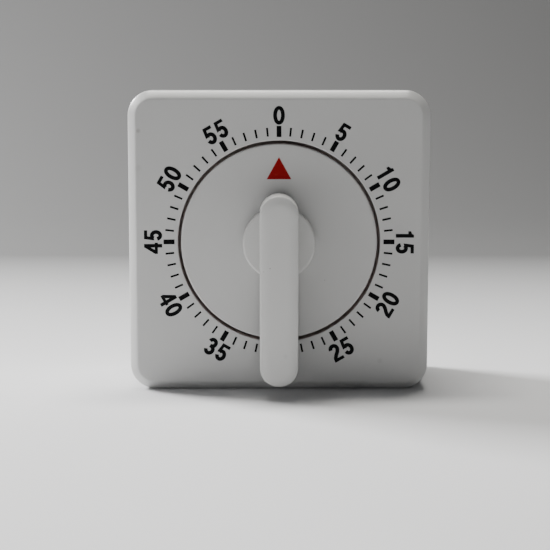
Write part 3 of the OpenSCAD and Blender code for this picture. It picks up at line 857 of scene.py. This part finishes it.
# The four screws of the rear cover
coverScrew = {
    "spacing": 2 * frontCase["bossAt"],
    "headRadius": 2.9,
    "headHeight": 2.0,
    "headProfile": ((0, 0), (0.35, 0.06), (0.7, 0.3), (0.92, 0.75), (1, 1.2)),
    "seat": rearCover["back"] + rearCover["pocketDepth"],
    "shank": 1.45,
    "tip": -12.0,
    "root": 1.1,
    "pitch": 1.1,
    "blade": (3.4, 0.66, 1.6),
    "bladeTaper": 0.62,
    "seed": 5,
}


def makeScrew(size):
    r, h = size["headRadius"], size["headHeight"]
    outline = [(r * share, h - drop) for share, drop in size["headProfile"]]
    outline += [(r, 0.1), (r - 0.1, 0), (size["shank"], 0)]
    length, root, pitch = abs(size["seat"] - size["tip"]), size["root"], size["pitch"]
    for k in range(int(length / pitch)):
        z = -0.5 - k * pitch
        outline += [(root, z), (root, z - 0.35), (size["shank"], z - 0.7), (root, z - 1.05)]
    outline += [(0.3, -length), (0, -length)]
    bm = bmesh.new()
    addLathe(bm, outline, 48, False)
    screw = addObject("screwShape", meshFromBmesh("screwShape", bm, zincPlate))
    long, wide, deep = size["blade"]
    for turn in (0, 90):
        bm = bmesh.new()
        blade = bmesh.ops.create_cube(bm, size=1)["verts"]
        for vert in blade:
            narrow = size["bladeTaper"] if vert.co.z < 0 else 1.0
            vert.co = Vector((vert.co.x * long * narrow, vert.co.y * wide * narrow, vert.co.z * deep + h))
        bmesh.ops.rotate(bm, cent=(0, 0, 0), matrix=Matrix.Rotation(math.radians(turn), 3, "Z"), verts=blade)
        combine(screw, addObject("blade", meshFromBmesh("blade", bm, zincPlate)), "DIFFERENCE")
    return finishMesh(screw, 28)


# Four screws on the corners of a square, each turned a different way
def screwTree(shape):
    tree = bpy.data.node_groups.new("cover_screws", "GeometryNodeTree")
    spacing = tree.interface.new_socket("Spacing", in_out="INPUT", socket_type="NodeSocketFloat")
    seat = tree.interface.new_socket("Seat", in_out="INPUT", socket_type="NodeSocketFloat")
    seed = tree.interface.new_socket("Seed", in_out="INPUT", socket_type="NodeSocketInt")
    tree.interface.new_socket("Geometry", in_out="OUTPUT", socket_type="NodeSocketGeometry")
    given = tree.nodes.new("NodeGroupInput").outputs
    result = tree.nodes.new("NodeGroupOutput")
    grid = addNode(tree, "GeometryNodeMeshGrid", {
        "Size X": given["Spacing"], "Size Y": given["Spacing"], "Vertices X": 2, "Vertices Y": 2})
    points = addNode(tree, "GeometryNodeTransform", {
        "Geometry": grid.outputs[0],
        "Translation": addNode(tree, "ShaderNodeCombineXYZ", {"Z": given["Seat"]}).outputs[0]})
    chance = addNode(tree, "FunctionNodeRandomValue", {
        2: 0.0, 3: 3.0, "Seed": given["Seed"]}, data_type="FLOAT")
    turn = addNode(tree, "ShaderNodeCombineXYZ", {"X": math.pi, "Z": chance.outputs[1]})
    source = addNode(tree, "GeometryNodeObjectInfo", {"Object": shape})
    placed = addNode(tree, "GeometryNodeInstanceOnPoints", {
        "Points": points.outputs[0], "Instance": source.outputs["Geometry"], "Rotation": turn.outputs[0]})
    real = addNode(tree, "GeometryNodeRealizeInstances", {"Geometry": placed.outputs[0]})
    plated = addNode(tree, "GeometryNodeSetMaterial", {"Geometry": real.outputs[0], "Material": zincPlate})
    tree.links.new(plated.outputs[0], result.inputs[0])
    values = ((spacing, coverScrew["spacing"]), (seat, coverScrew["seat"]), (seed, coverScrew["seed"]))
    return tree, {socket.identifier: value for socket, value in values}


screwShape = makeScrew(coverScrew)
screws = growFromNodes("coverScrews", *screwTree(screwShape))
bpy.data.objects.remove(screwShape)
standOnBench(screws.data)
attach(screws, "root")
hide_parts("cover_screws")
print("cover screws made")

# The movement keeps its machined shapes and takes its finishes
slotFinish = {
    "brass": brass,
    "bright_steel": brightSteel,
    "zinc_screws": zincPlate,
    "spring_steel": springSteel,
    "bell_nickel": bellNickel,
    "case_plastic": casePlastic,
    "dial_plastic": dialPlastic,
}
for subpart in frame["record"]["subparts"]:
    node = frame["nodes"][subpart["node"]]
    node.data.materials.clear()
    node.data.materials.append(slotFinish[subpart["material_slot"]])
print("movement finished")

# The bench, the light and the camera
studio = {
    "benchWidth": 3.0,
    "benchFront": -1.2,
    "sweepStart": 0.42,
    "sweepRadius": 0.5,
    "wallTop": 2.2,
    "benchColour": (0.8, 0.8, 0.81, 1),
    # Painted shade: the bench and wall darken to this colour behind the timer, and partly in front of it
    "paintedShadeColour": (0.15, 0.15, 0.15, 1),
    "backShadeFrom": 0.01,
    "backShadeTo": 0.3,
    "frontShadeFrom": -0.17,
    "frontShadeTo": -0.45,
    "frontShadeMost": 0.8,
    "ambient": 0.062,
    "skyColour": (0.95, 0.97, 1, 1),
}


# A pale bench that sweeps up into the wall behind, with painted shade: its colour darkens towards the back and up
# the wall, and partly towards the front
def makeBench(size):
    r = size["sweepRadius"]
    line = [(size["benchFront"], 0.0), (size["sweepStart"], 0.0)]
    line += [(size["sweepStart"] + y, r + z) for y, z in arcPoints((0, 0), r, -90, 0, 16)[1:]]
    line.append((size["sweepStart"] + r, size["wallTop"]))
    bm = bmesh.new()
    half = size["benchWidth"] / 2
    rows = [(bm.verts.new((-half, y, z)), bm.verts.new((half, y, z))) for y, z in line]
    for near, far in zip(rows, rows[1:]):
        bm.faces.new((near[0], near[1], far[1], far[0]))
    material, tree, shader = newMaterial("bench_top", 0.55)
    place = objectCoordinates(tree)
    tone = remap(tree, noise(tree, place, 9, 3), 0.3, 0.7, 0, 1)
    shade = tuple(c * 0.97 for c in size["benchColour"][:3]) + (1,)
    depth = addNode(tree, "ShaderNodeSeparateXYZ", {0: place}).outputs["Y"]
    # Painted shade: darker towards the back and up the wall, and partly darker towards the front
    behind = remap(tree, depth, size["backShadeFrom"], size["backShadeTo"], 0, 1)
    before = remap(tree, depth, size["frontShadeFrom"], size["frontShadeTo"], 0, size["frontShadeMost"])
    paintedShade = math2(tree, "MAXIMUM", behind, before)
    near = blendColours(tree, tone, size["benchColour"], shade)
    tree.links.new(blendColours(tree, paintedShade, near, size["paintedShadeColour"]), shader.inputs["Base Color"])
    bump(tree, shader, noise(tree, place, 700, 3), 0.05, 0.0001)
    mesh = bpy.data.meshes.new("bench")
    bm.to_mesh(mesh)
    bm.free()
    mesh.materials.append(material)
    for face in mesh.polygons:
        face.use_smooth = True
    return addObject("bench", mesh)


makeBench(studio)


lamps = {
    "window": {"place": (-0.68, 0.39, 0.5), "power": 19.5, "size": (0.28, 0.28), "colour": (1, 1, 1)},
    "overhead": {
        "place": (-0.03, 0.14, 0.82), "power": 6.8, "size": (0.45, 0.12), "colour": (1, 0.985, 0.94)},
    "roomLeft": {"place": (-0.9, -0.42, 0.35), "power": 1.1, "size": (0.6, 0.6), "colour": (1, 1, 1)},
}


def addLight(name, look, aim):
    lamp = bpy.data.lights.new(name, "AREA")
    lamp.shape = "RECTANGLE"
    lamp.size, lamp.size_y = look["size"]
    lamp.energy = look["power"]
    lamp.color = look["colour"]
    holder = bpy.data.objects.new(name, lamp)
    holder.location = look["place"]
    holder.rotation_euler = (Vector(aim) - Vector(look["place"])).to_track_quat("-Z", "Y").to_euler()
    bpy.context.scene.collection.objects.link(holder)


caseCentre = tuple((Vector(cadLow) + Vector(cadHigh)) / 2)
for name, look in lamps.items():
    addLight(name, look, caseCentre)
world = bpy.data.worlds.new("studio")
world.use_nodes = True
world.node_tree.nodes["Background"].inputs["Color"].default_value = studio["skyColour"]
world.node_tree.nodes["Background"].inputs["Strength"].default_value = studio["ambient"]
bpy.context.scene.world = world

view = {"distance": 0.370, "height": 0.076, "side": -0.001, "pitch": 7.15, "lens": 96.5}
camera = bpy.data.cameras.new("camera")
camera.lens = view["lens"]
camera.sensor_width = 36
camera.clip_start = 0.01
cameraObject = bpy.data.objects.new("camera", camera)
cameraObject.location = (view["side"], dialAxis[1] - view["distance"], view["height"])
cameraObject.rotation_euler = (math.radians(90 - view["pitch"]), 0, 0)
bpy.context.scene.collection.objects.link(cameraObject)
bpy.context.scene.camera = cameraObject

print("camera and light set")
